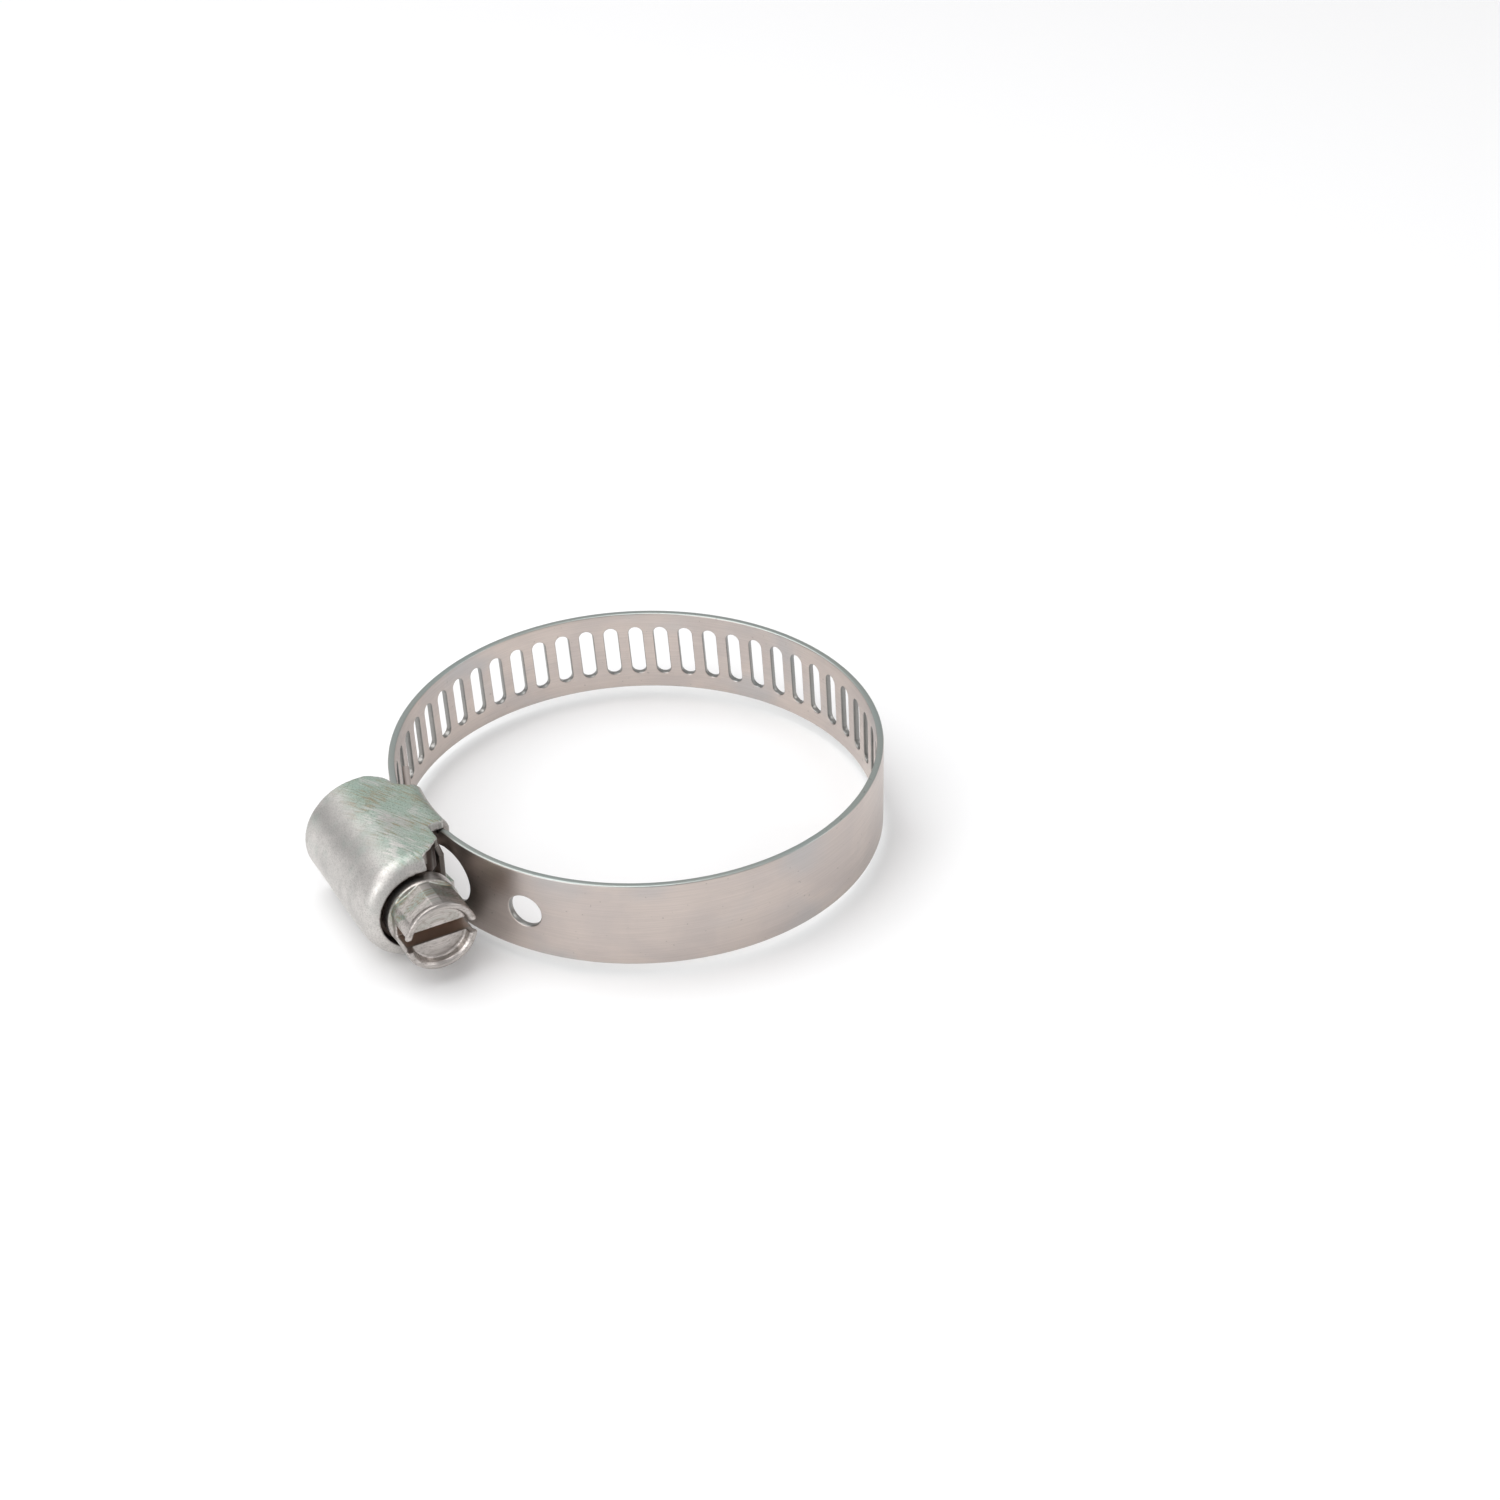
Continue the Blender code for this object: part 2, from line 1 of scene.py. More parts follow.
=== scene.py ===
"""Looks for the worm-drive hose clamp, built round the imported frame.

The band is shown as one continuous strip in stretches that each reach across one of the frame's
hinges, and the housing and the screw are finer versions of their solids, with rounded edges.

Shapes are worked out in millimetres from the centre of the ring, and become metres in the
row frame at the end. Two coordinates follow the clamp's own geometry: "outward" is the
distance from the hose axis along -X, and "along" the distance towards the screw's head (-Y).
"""

import json
from math import cos, hypot, pi, radians, sin, sqrt, tan

import bmesh
import bpy
from mathutils import Matrix, Vector


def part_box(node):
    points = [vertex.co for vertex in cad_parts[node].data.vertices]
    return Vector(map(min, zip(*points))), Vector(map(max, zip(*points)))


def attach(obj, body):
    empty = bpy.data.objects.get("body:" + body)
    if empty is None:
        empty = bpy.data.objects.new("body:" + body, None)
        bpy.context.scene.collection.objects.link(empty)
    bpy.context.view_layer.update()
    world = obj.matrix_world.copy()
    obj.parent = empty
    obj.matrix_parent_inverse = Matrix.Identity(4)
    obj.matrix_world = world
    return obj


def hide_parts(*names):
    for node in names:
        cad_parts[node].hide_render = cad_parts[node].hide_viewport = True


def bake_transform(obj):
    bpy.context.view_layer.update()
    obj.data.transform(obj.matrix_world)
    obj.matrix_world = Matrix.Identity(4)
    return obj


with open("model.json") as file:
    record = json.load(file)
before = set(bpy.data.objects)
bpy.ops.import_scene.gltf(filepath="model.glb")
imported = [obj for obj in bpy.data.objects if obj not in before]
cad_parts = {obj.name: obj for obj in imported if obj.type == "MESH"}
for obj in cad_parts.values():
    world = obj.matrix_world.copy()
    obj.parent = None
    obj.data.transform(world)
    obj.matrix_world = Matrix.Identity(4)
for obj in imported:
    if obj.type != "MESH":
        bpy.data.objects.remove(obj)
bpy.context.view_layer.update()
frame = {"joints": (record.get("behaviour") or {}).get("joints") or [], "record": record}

MM = 0.001

# The band's line, as in the frame: a spiral from the housing once round the hose.
BAND_WIDTH = 8.0
BAND_THICKNESS = 0.6
START_RADIUS = 20.25
SPIRAL_GROWTH = 1.30 / (2 * pi)      # gained per radian
SLOT_PITCH = 2.33                    # also the lead of the worm
SLOT_SIZE = (1.3, 5.0)
SLOT_SLANT = radians(3.5)
FIRST_SLOT = 22                      # slots are counted from the first hinge
LAST_SLOT = 56
HOLE_ARC = 12.4
HOLE_RADIUS = 1.5
HOLE_STEPS = 48
WINDOW = (-1.6, 6.6, 5.0)            # start, end and height
WINDOW_STEPS = 24                    # at each end
TAIL_TIP = 136.2
TIP_CHAMFER = 1.2
FIRST_HINGE = 4.20
LENGTH_ARC = 3 * SLOT_PITCH          # between two hinges
TONGUE_RADIUS = 20.45
TONGUE_WIDTH = 7.6
TONGUE_END = -7.4
TONGUE_CURL = (0.1, -4.0, 2.0)       # amount, start and length
SHOULDER_START = 3.1
JOGGLE = (2.7, 3.6)                  # where the tongue steps out to the strip
BAND_EDGE = 0.13                     # rounding of the strip's edges
EDGE_STEPS = 3
BAND_STEP = 0.35                     # arc between the strip's cross divisions
SAME_CURVE = radians(40)             # faces that turn by less share a smooth edge
TANGENT_STEP = 0.01
BEND_MARGIN = 0.3                    # the span worked out round a hinge stops this far short of its stretch's ends
JOGGLE_MARGIN = 0.1                  # and the first one this far after the joggle

AXIS_OUTWARD = 24.1                  # the screw's axis
MIDDLE_HEIGHT = 5.0

WELD_DISTANCE = 1e-4
CUT_TOLERANCE = 1e-5
OVERLAP = 0.15                       # joined shapes run into each other by this much
CUTTER_LOW = 17.0                    # cutters reach from here, inside the ring,
CUTTER_OUTWARD = 40.0                # to here, outside the housing,
CUTTER_BELOW = -1.0                  # from here, under the part,
CUTTER_REACH = 12.0                  # and this far along the screw and up
CUTTER_TOP = 14.0                    # above the screw's head while it stands upright

HOUSING_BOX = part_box("housing")
LEFT_EXTENT = -HOUSING_BOX[0].x / MM
RING_X = AXIS_OUTWARD + MIDDLE_HEIGHT - LEFT_EXTENT
BAND_HINGES = [joint for joint in frame["joints"] if joint["name"].startswith("band_flex")]


def smooth_step(value):
    value = min(1.0, max(0.0, value))
    return value * value * (3 - 2 * value)


def turn_at(arc):
    return (sqrt(START_RADIUS ** 2 + 2 * SPIRAL_GROWTH * arc) - START_RADIUS) / SPIRAL_GROWTH


def spiral_point(turn):
    x = -START_RADIUS * cos(turn) - SPIRAL_GROWTH * (turn * cos(turn) - sin(turn))
    y = -START_RADIUS * sin(turn) - SPIRAL_GROWTH * (turn * sin(turn) + cos(turn) - 1)
    return x, y


def bend_to_ring(arc, height, depth):
    """Strip coordinates to the ring. Before the first hinge the strip is the fixed tongue."""
    if arc > FIRST_HINGE:
        turn = turn_at(arc)
        x, y = spiral_point(turn)
        return x - depth * cos(turn), y - depth * sin(turn), height
    step = smooth_step((arc - JOGGLE[0]) / (JOGGLE[1] - JOGGLE[0]))
    amount, start, length = TONGUE_CURL
    radius = TONGUE_RADIUS + (START_RADIUS - TONGUE_RADIUS) * step
    radius += depth - amount * smooth_step((start - arc) / length)
    turn = arc / START_RADIUS
    return -radius * cos(turn), -radius * sin(turn), height


RING_Y = BAND_HINGES[0]["pos_m"][1] / MM - spiral_point(turn_at(FIRST_HINGE))[1]

# ---------------------------------------------------------------- mesh helpers

WORKSHOP = bpy.data.collections.new("workshop")
bpy.context.scene.collection.children.link(WORKSHOP)
SHOWN = bpy.data.collections.new("hose_clamp_looks")
bpy.context.scene.collection.children.link(SHOWN)


def arc_points(centre, radius, start, end, steps):
    return [(centre[0] + radius * cos(start + (end - start) * i / steps),
             centre[1] + radius * sin(start + (end - start) * i / steps))
            for i in range(steps + 1)]


def obround(centre, width, height, slant=0.0, steps=12):
    radius = min(width, height) / 2
    if height > width:
        reach = height / 2 - radius
        points = arc_points((0, reach), radius, 0, pi, steps)
        points += arc_points((0, -reach), radius, pi, 2 * pi, steps)
    else:
        reach = width / 2 - radius
        points = arc_points((reach, 0), radius, -pi / 2, pi / 2, steps)
        points += arc_points((-reach, 0), radius, pi / 2, 3 * pi / 2, steps)
    return [(centre[0] + x + y * tan(slant), centre[1] + y) for x, y in points]


def new_object(mesh_data, name):
    mesh = bpy.data.meshes.new(name)
    mesh_data.to_mesh(mesh)
    mesh_data.free()
    shape = bpy.data.objects.new(name, mesh)
    WORKSHOP.objects.link(shape)
    return shape


def plate(name, outlines, thickness, placement=Matrix()):
    """Closed outlines filled and extruded; with no thickness, one flat sheet."""
    curve = bpy.data.curves.new(name, "CURVE")
    curve.dimensions = "2D"
    curve.fill_mode = "BOTH"
    curve.extrude = thickness / 2
    for outline in outlines:
        spline = curve.splines.new("POLY")
        spline.points.add(len(outline) - 1)
        spline.use_cyclic_u = True
        for point, (x, y) in zip(spline.points, outline):
            point.co = (x, y, 0, 1)
    source = bpy.data.objects.new(name + "_outline", curve)
    WORKSHOP.objects.link(source)
    mesh = bpy.data.meshes.new_from_object(
        source.evaluated_get(bpy.context.evaluated_depsgraph_get()))
    bpy.data.objects.remove(source, do_unlink=True)
    mesh.transform(placement)
    solid = bmesh.new()
    solid.from_mesh(mesh)
    bmesh.ops.remove_doubles(solid, verts=solid.verts, dist=WELD_DISTANCE)
    bmesh.ops.recalc_face_normals(solid, faces=solid.faces)
    if solid.calc_volume(signed=True) < 0:
        bmesh.ops.reverse_faces(solid, faces=solid.faces)
    return new_object(solid, name)


def side_plate(name, outline):
    """An outline in (along, outward), extruded right through the housing."""
    placement = Matrix(((0, -1, 0, 0), (-1, 0, 0, 0), (0, 0, -1, MIDDLE_HEIGHT), (0, 0, 0, 1)))
    return plate(name, [outline], 2 * CUTTER_REACH, placement)


def end_plate(name, outline, start, end):
    """An outline in (outward, height), extruded between two places along the screw."""
    middle = (start + end) / 2
    placement = Matrix(((-1, 0, 0, 0), (0, 0, 1, -middle), (0, 1, 0, 0), (0, 0, 0, 1)))
    return plate(name, [outline], end - start, placement)


def block(name, low, high):
    solid = bmesh.new()
    bmesh.ops.create_cube(solid, size=1.0)
    bmesh.ops.scale(solid, verts=solid.verts, vec=[b - a for a, b in zip(low, high)])
    bmesh.ops.translate(solid, verts=solid.verts, vec=[(a + b) / 2 for a, b in zip(low, high)])
    return new_object(solid, name)


TURNED_STEPS = 120                   # round a turned shape


def turned(name, profile):
    """Turn a profile of (radius, along), head end first, round the Z axis."""
    line = bmesh.new()
    points = [line.verts.new((radius, 0, along)) for radius, along in profile]
    for first, second in zip(points, points[1:]):
        line.edges.new((first, second))
    shape = new_object(line, name)
    screw = shape.modifiers.new("Turn", "SCREW")
    screw.steps = screw.render_steps = TURNED_STEPS
    screw.use_merge_vertices = True
    screw.merge_threshold = WELD_DISTANCE
    return shape


def combine(target, tool, operation):
    step = target.modifiers.new(operation, "BOOLEAN")
    step.operation = operation
    step.solver = "EXACT"
    step.object = tool


def soften(shape, voxel, rounds):
    """Remesh evenly and relax, which rounds the edges as forming and tumbling do."""
    remesh = shape.modifiers.new("Remesh", "REMESH")
    remesh.mode = "VOXEL"
    remesh.voxel_size = voxel
    relax = shape.modifiers.new("Relax", "SMOOTH")
    relax.factor = 0.5
    relax.iterations = rounds


def applied_mesh(shape):
    mesh = bpy.data.meshes.new_from_object(
        shape.evaluated_get(bpy.context.evaluated_depsgraph_get()))
    bpy.data.objects.remove(shape, do_unlink=True)
    return mesh


def remember_place(mesh, places):
    """Keep each vertex's place on the part, in millimetres, for the materials to follow."""
    attribute = mesh.attributes.new("place", "FLOAT_VECTOR", "POINT")
    attribute.data.foreach_set("vector", [number for place in places for number in place])


def to_frame(mesh):
    """From millimetres round the ring's centre to metres in the row frame."""
    mesh.transform(Matrix.Translation((RING_X * MM, RING_Y * MM, 0)) @ Matrix.Scale(MM, 4))


def show(mesh, name, material):
    """Put a finished mesh in the scene, with its material."""
    mesh.name = name
    shape = bpy.data.objects.new(name, mesh)
    SHOWN.objects.link(shape)
    mesh.materials.clear()
    mesh.materials.append(material)
    return shape


# ---------------------------------------------------------------- materials

class Nodes:
    """Short names for the nodes that the steels share."""

    def __init__(self, name):
        self.material = bpy.data.materials.new(name)
        self.material.use_nodes = True
        self.tree = self.material.node_tree
        self.shader = self.tree.nodes["Principled BSDF"]
        place = self.tree.nodes.new("ShaderNodeAttribute")
        place.attribute_name = "place"
        self.place = place.outputs["Vector"]
        split = self.tree.nodes.new("ShaderNodeSeparateXYZ")
        self.link(self.place, split.inputs[0])
        self.x, self.y, self.z = split.outputs

    def link(self, source, target):
        if hasattr(source, "is_output"):
            self.tree.links.new(source, target)
        else:
            target.default_value = source

    def math(self, operation, *values):
        node = self.tree.nodes.new("ShaderNodeMath")
        node.operation = operation
        for value, socket in zip(values, node.inputs):
            self.link(value, socket)
        return node.outputs[0]

    def product(self, first, *others):
        for other in others:
            first = self.math("MULTIPLY", first, other)
        return first

    def add(self, first, second, share=1.0):
        """The first value and a share of the second."""
        return self.math("ADD", first, self.math("MULTIPLY", second, share))

    def blend(self, first, first_share, second, second_share):
        return self.add(self.math("MULTIPLY", first, first_share), second, second_share)

    def noise(self, stretch, detail=3.0, rough=0.5, offset=0.0, warp=0.0):
        """Noise whose features are 1/stretch millimetres along each axis."""
        scaled = self.tree.nodes.new("ShaderNodeMapping")
        scaled.inputs["Scale"].default_value = stretch
        scaled.inputs["Location"].default_value = (offset, offset, offset)
        self.link(self.place, scaled.inputs["Vector"])
        node = self.tree.nodes.new("ShaderNodeTexNoise")
        node.inputs["Scale"].default_value = 1.0
        node.inputs["Detail"].default_value = detail
        node.inputs["Roughness"].default_value = rough
        node.inputs["Distortion"].default_value = warp
        self.link(scaled.outputs[0], node.inputs["Vector"])
        return node.outputs["Fac"]

    def fade(self, value, start, end):
        """0 before start and 1 after end, smoothly; start may be the larger."""
        node = self.tree.nodes.new("ShaderNodeMapRange")
        node.interpolation_type = "SMOOTHSTEP"
        node.inputs["From Min"].default_value = start
        node.inputs["From Max"].default_value = end
        self.link(value, node.inputs["Value"])
        return node.outputs["Result"]

    def between(self, value, low, high):
        """Spread a value that runs from 0 to 1 over a range."""
        node = self.tree.nodes.new("ShaderNodeMapRange")
        node.inputs["To Min"].default_value = low
        node.inputs["To Max"].default_value = high
        self.link(value, node.inputs["Value"])
        return node.outputs["Result"]

    def mix(self, share, first, second):
        """The first colour, with a share of the second over it."""
        node = self.tree.nodes.new("ShaderNodeMix")
        node.data_type = "RGBA"
        self.link(share, node.inputs["Factor"])
        for value, socket in ((first, node.inputs["A"]), (second, node.inputs["B"])):
            colour = [s for s in node.inputs if s.name == socket.name and s.type == "RGBA"][0]
            self.link(value if hasattr(value, "is_output") else (*value, 1.0), colour)
        return [s for s in node.outputs if s.type == "RGBA"][0]

    def upward(self):
        """How far a surface faces up, from -1 to 1."""
        node = self.tree.nodes.new("ShaderNodeNewGeometry")
        split = self.tree.nodes.new("ShaderNodeSeparateXYZ")
        self.link(node.outputs["Normal"], split.inputs[0])
        return split.outputs["Z"]

    def bump(self, height, depth_mm):
        node = self.tree.nodes.new("ShaderNodeBump")
        node.inputs["Distance"].default_value = depth_mm * MM
        self.link(height, node.inputs["Height"])
        return node.outputs["Normal"]

    def finish(self, colour, roughness, metallic, normal):
        self.link(colour, self.shader.inputs["Base Color"])
        self.link(roughness, self.shader.inputs["Roughness"])
        self.link(metallic, self.shader.inputs["Metallic"])
        self.link(normal, self.shader.inputs["Normal"])
        return self.material


def band_material():
    """Rolled stainless strip: a fine lengthwise grain, faint mottling and a few pits.

    The place is (arc, height, depth)."""
    n = Nodes("band_stainless")
    grain = n.noise((0.25, 16.0, 2.0), detail=4, rough=0.6)
    cross = n.noise((5.0, 0.9, 1.0), detail=2, offset=11)
    mottle = n.noise((0.16, 0.22, 0.2), detail=4, rough=0.55, offset=3, warp=0.6)
    blush = n.noise((0.10, 0.14, 0.1), detail=2, offset=37)
    pits = n.fade(n.noise((2.6, 2.6, 2.6), detail=1, offset=71), 0.735, 0.78)
    pink, tan_steel, grey = (0.635, 0.555, 0.51), (0.575, 0.51, 0.48), (0.52, 0.50, 0.495)
    dark_grain, dull_green, brown_grey = (0.36, 0.325, 0.30), (0.37, 0.44, 0.42), (0.30, 0.27, 0.26)
    # Painted shade colours for the walls of the openings and for the band by the housing and at the
    # tip, then the pits' own dark colour.
    wall_shadow, painted_shade, pit_dark = (0.17, 0.20, 0.20), (0.11, 0.085, 0.07), (0.20, 0.18, 0.17)

    colour = n.mix(n.fade(mottle, 0.35, 0.65), pink, tan_steel)
    colour = n.mix(n.fade(blush, 0.5, 0.72), colour, grey)
    colour = n.mix(n.between(n.fade(grain, 0.3, 0.7), 0.0, 0.25), colour, dark_grain)
    from_middle = n.math("ABSOLUTE", n.math("SUBTRACT", n.y, MIDDLE_HEIGHT))
    half_width, half_thickness = BAND_WIDTH / 2, BAND_THICKNESS / 2
    edge = n.fade(from_middle, half_width - 0.10, half_width - 0.01)
    colour = n.mix(n.product(edge, 0.75), colour, dull_green)
    outer_side = n.fade(n.z, half_thickness - 0.1, half_thickness)
    colour = n.mix(n.product(outer_side, 0.16), colour, brown_grey)
    in_opening = n.product(n.fade(from_middle, half_width - 0.20, half_width - 0.30),
                           n.fade(n.math("ABSOLUTE", n.z), half_thickness - 0.01,
                                  half_thickness - 0.06))
    colour = n.mix(n.product(in_opening, 0.65), colour, wall_shadow)
    # Painted shade that the light alone leaves out: darker colour by the housing, and on the tail's
    # tip.
    by_housing = n.product(n.fade(n.z, 0.0, half_thickness - 0.05), n.fade(n.x, 5.6, 4.0))
    on_tip = n.fade(n.x, TAIL_TIP - 1.6, TAIL_TIP - 0.6)
    painted_shade_mask = n.math("MAXIMUM", by_housing, on_tip)
    colour = n.mix(n.product(painted_shade_mask, 0.7), colour, painted_shade)
    colour = n.mix(n.product(pits, 0.35), colour, pit_dark)

    roughness = n.between(n.blend(grain, 0.6, mottle, 0.4), 0.24, 0.46)
    height = n.add(n.add(grain, cross, 0.35), pits, -0.6)
    return n.finish(colour, roughness, 1.0, n.bump(height, 0.004))


def housing_material():
    """Stamped stainless sheet, with a green and brown stain in streaks on its flat side.

    The place is (along, outward, height)."""
    n = Nodes("housing_stainless")
    fine = n.noise((7.0, 7.0, 7.0), detail=5, rough=0.65)
    cloud = n.noise((0.35, 0.35, 0.35), detail=4, offset=5, warp=0.4)
    blotch = n.noise((0.42, 0.42, 0.42), detail=3, offset=21, warp=0.8)
    veil = n.noise((0.5, 0.5, 0.5), detail=4, offset=51)
    slanting = n.tree.nodes.new("ShaderNodeVectorRotate")
    slanting.rotation_type = "Z_AXIS"
    slanting.inputs["Angle"].default_value = radians(28)
    n.link(n.place, slanting.inputs["Vector"])
    straight = n.place
    n.place = slanting.outputs[0]
    streaks = n.noise((0.5, 5.5, 1.0), detail=4, rough=0.6, offset=2)
    scratches = n.noise((0.35, 22.0, 2.0), detail=3, offset=9)
    n.place = straight
    light_steel, mid_steel = (0.66, 0.635, 0.61), (0.53, 0.515, 0.495)
    dark_steel = (0.30, 0.285, 0.27)
    green, brown, dark_green = (0.285, 0.385, 0.32), (0.29, 0.235, 0.14), (0.15, 0.19, 0.15)
    # Bare scratches, a pale green haze, and a painted shade colour for the mouth and the cut face.
    bare, pale_green, painted_shade = (0.62, 0.66, 0.60), (0.34, 0.44, 0.39), (0.075, 0.055, 0.045)

    colour = n.mix(n.fade(cloud, 0.35, 0.65), light_steel, mid_steel)
    colour = n.mix(n.product(n.fade(fine, 0.40, 0.75), 0.55), colour, dark_steel)
    flat_side = n.fade(n.upward(), 0.60, 0.90)
    below_barrel = n.fade(n.y, AXIS_OUTWARD + 3.1, AXIS_OUTWARD + 0.5)
    stain = n.product(flat_side, below_barrel,
                      n.fade(n.blend(streaks, 0.55, blotch, 0.5), 0.38, 0.56))
    browned = n.fade(n.blend(streaks, 0.6, cloud, 0.4), 0.50, 0.62)
    stain_colour = n.mix(browned, green, brown)
    stain_colour = n.mix(n.fade(fine, 0.45, 0.70), stain_colour, dark_green)
    colour = n.mix(n.product(stain, 0.85), colour, stain_colour)
    scratch = n.product(n.fade(scratches, 0.60, 0.72), flat_side)
    colour = n.mix(n.product(scratch, 0.45), colour, bare)
    haze = n.product(n.fade(veil, 0.5, 0.72), n.fade(n.z, 3.0, 8.0))
    colour = n.mix(n.product(haze, 0.30), colour, pale_green)
    # Painted shade that the light alone leaves out: darker colour round the neck, and on the cut
    # face.
    above = n.math("SUBTRACT", n.z, MIDDLE_HEIGHT)
    beyond_axis = n.math("MAXIMUM", n.math("SUBTRACT", n.y, AXIS_OUTWARD), 0.0)
    from_axis = n.math("SQRT", n.add(n.product(above, above),
                                     n.product(beyond_axis, beyond_axis)))
    in_mouth = n.product(n.fade(from_axis, MOUTH_RADIUS + 0.20, MOUTH_RADIUS - 0.05),
                         n.fade(n.x, END_WALL_BACK - 0.4, END_WALL_BACK))
    cut_face = n.product(n.fade(from_axis, BARREL_RADIUS - 0.05, BARREL_RADIUS - 0.20),
                         n.fade(n.x, END_WALL_BACK - 0.15, END_WALL_BACK),
                         n.fade(n.y, 23.2, 22.8))
    shaded = n.math("MAXIMUM", in_mouth, cut_face)
    colour = n.mix(n.product(shaded, 0.97), colour, painted_shade)

    roughness = n.add(n.between(fine, 0.34, 0.54), stain, 0.10)
    metallic = n.math("SUBTRACT", 1.0, n.product(stain, 0.35))
    height = n.blend(fine, 0.6, scratches, 0.8)
    return n.finish(colour, roughness, metallic, n.bump(height, 0.008))


def screw_material():
    """Formed steel, satin, with a stain on the hexagon.

    The place is (along, distance from the axis, height above the axis)."""
    n = Nodes("screw_steel_worn")
    fine = n.noise((6.0, 6.0, 6.0), detail=5, rough=0.65)
    cloud = n.noise((0.7, 0.7, 0.7), detail=4, offset=8, warp=0.5)
    light_steel, mid_steel, dark_steel = (0.56, 0.52, 0.495), (0.43, 0.40, 0.38), (0.24, 0.22, 0.20)
    green, brown, warm = (0.28, 0.37, 0.32), (0.29, 0.25, 0.17), (0.44, 0.365, 0.32)

    colour = n.mix(n.fade(cloud, 0.35, 0.65), light_steel, mid_steel)
    colour = n.mix(n.fade(fine, 0.42, 0.75), colour, dark_steel)
    stain = n.product(n.fade(n.x, FLANGE_END - 0.4, FLANGE_END + 0.1),
                      n.fade(n.x, HEAD_END - 0.6, HEAD_END - 1.2),
                      n.fade(cloud, 0.42, 0.60), n.fade(n.z, -1.0, 1.5))
    colour = n.mix(n.product(stain, 0.8), colour, n.mix(n.fade(fine, 0.42, 0.6), green, brown))
    recess_floor = HEAD_END - RECESS_DEPTH
    half_slot = DRIVER_SLOT_WIDTH / 2
    in_slot = n.product(n.fade(n.x, recess_floor - 0.08, recess_floor - 0.25),
                        n.fade(n.y, COLLAR_RADIUS - 0.25, COLLAR_RADIUS - 0.45),
                        n.fade(n.math("ABSOLUTE", n.z), half_slot + 0.075, half_slot + 0.035))
    colour = n.mix(in_slot, colour, warm)
    return n.finish(colour, n.between(fine, 0.22, 0.44), 1.0, n.bump(fine, 0.008))


# ---------------------------------------------------------------- band

def band_outlines(start, end, inset):
    """The strip's outline in (arc, height) between two places, then its openings.

    The inset is into the metal, except at an end that joins the next stretch."""
    low = MIDDLE_HEIGHT - BAND_WIDTH / 2 + inset
    high = MIDDLE_HEIGHT + BAND_WIDTH / 2 - inset
    if start == TONGUE_END:
        shoulder = SHOULDER_START + inset
        tongue_low = MIDDLE_HEIGHT - TONGUE_WIDTH / 2 + inset
        tongue_high = MIDDLE_HEIGHT + TONGUE_WIDTH / 2 - inset
        outline = [(start + inset, tongue_low), (shoulder, tongue_low), (shoulder, low),
                   (end, low), (end, high), (shoulder, high), (shoulder, tongue_high),
                   (start + inset, tongue_high)]
    elif end == TAIL_TIP:
        corner = TIP_CHAMFER + inset * (sqrt(2) - 1)
        tip = end - inset
        outline = [(start, low), (end - corner, low), (tip, low + corner - inset),
                   (tip, high - corner + inset), (end - corner, high), (start, high)]
    else:
        outline = [(start, low), (end, low), (end, high), (start, high)]
    outlines = [outline]
    width, height = (size + 2 * inset for size in SLOT_SIZE)
    for number in range(FIRST_SLOT, LAST_SLOT + 1):
        arc = FIRST_HINGE + number * SLOT_PITCH
        if start < arc < end:
            outlines.append(obround((arc, MIDDLE_HEIGHT), width, height, SLOT_SLANT))
    if start < HOLE_ARC < end:
        outlines.append(arc_points((HOLE_ARC, MIDDLE_HEIGHT), HOLE_RADIUS + inset,
                                   0, 2 * pi, HOLE_STEPS)[:-1])
    if start < WINDOW[1] < end:
        middle = ((WINDOW[0] + WINDOW[1]) / 2, MIDDLE_HEIGHT)
        outlines.append(obround(middle, WINDOW[1] - WINDOW[0] + 2 * inset,
                                WINDOW[2] + 2 * inset, steps=WINDOW_STEPS))
    return outlines


def flat_strip(start, end):
    """A stretch of strip with rounded edges, not yet bent.

    Its walls are made ring by ring, and then its two flat sides are filled in."""
    angles = [pi / 2 * i / EDGE_STEPS for i in range(EDGE_STEPS + 1)]
    front = [(BAND_EDGE * (1 - cos(angle)), BAND_THICKNESS / 2 - BAND_EDGE * (1 - sin(angle)))
             for angle in angles]
    profile = [(inset, -depth) for inset, depth in reversed(front)] + front
    strip = bmesh.new()
    rings = [[[strip.verts.new((*point, depth)) for point in outline]
              for outline in band_outlines(start, end, inset)] for inset, depth in profile]
    for level, next_level in zip(rings, rings[1:]):
        for ring, next_ring in zip(level, next_level):
            for i, vertex in enumerate(ring):
                strip.faces.new((ring[i - 1], vertex, next_ring[i], next_ring[i - 1]))
    sheet = plate("sheet", band_outlines(start, end, BAND_EDGE), 0)
    for side in (-1, 1):
        sheet.data.transform(Matrix.Translation((0, 0, side * BAND_THICKNESS / 2)))
        strip.from_mesh(sheet.data)
        sheet.data.transform(Matrix.Translation((0, 0, -side * BAND_THICKNESS / 2)))
    bpy.data.objects.remove(sheet, do_unlink=True)
    bmesh.ops.remove_doubles(strip, verts=strip.verts, dist=WELD_DISTANCE)
    bmesh.ops.recalc_face_normals(strip, faces=strip.faces)
    if strip.calc_volume(signed=True) < 0:
        bmesh.ops.reverse_faces(strip, faces=strip.faces)
    return strip


def is_flat(face):
    return all(abs(abs(vertex.co.z) - BAND_THICKNESS / 2) < WELD_DISTANCE for vertex in face.verts)


def strip_normals(strip, joints):
    """Shading normals, corner by corner: flat on the sides and cut ends, round on edges."""
    for face in strip.faces:
        face.normal_update()
        face.tag = is_flat(face)
    normals = []
    for face in strip.faces:
        cut_end = any(all(abs(vertex.co.x - joint) < WELD_DISTANCE for vertex in face.verts)
                      for joint in joints)
        for corner in face.loops:
            near = corner.vert.link_faces
            if face.tag or cut_end:
                normal = face.normal
            elif any(other.tag for other in near):
                normal = Vector((0, 0, 1 if corner.vert.co.z > 0 else -1))
            else:
                normal = sum((other.normal for other in near
                              if other.normal.angle(face.normal, 0) < SAME_CURVE), Vector())
            normals.append(normal.normalized())
    return normals


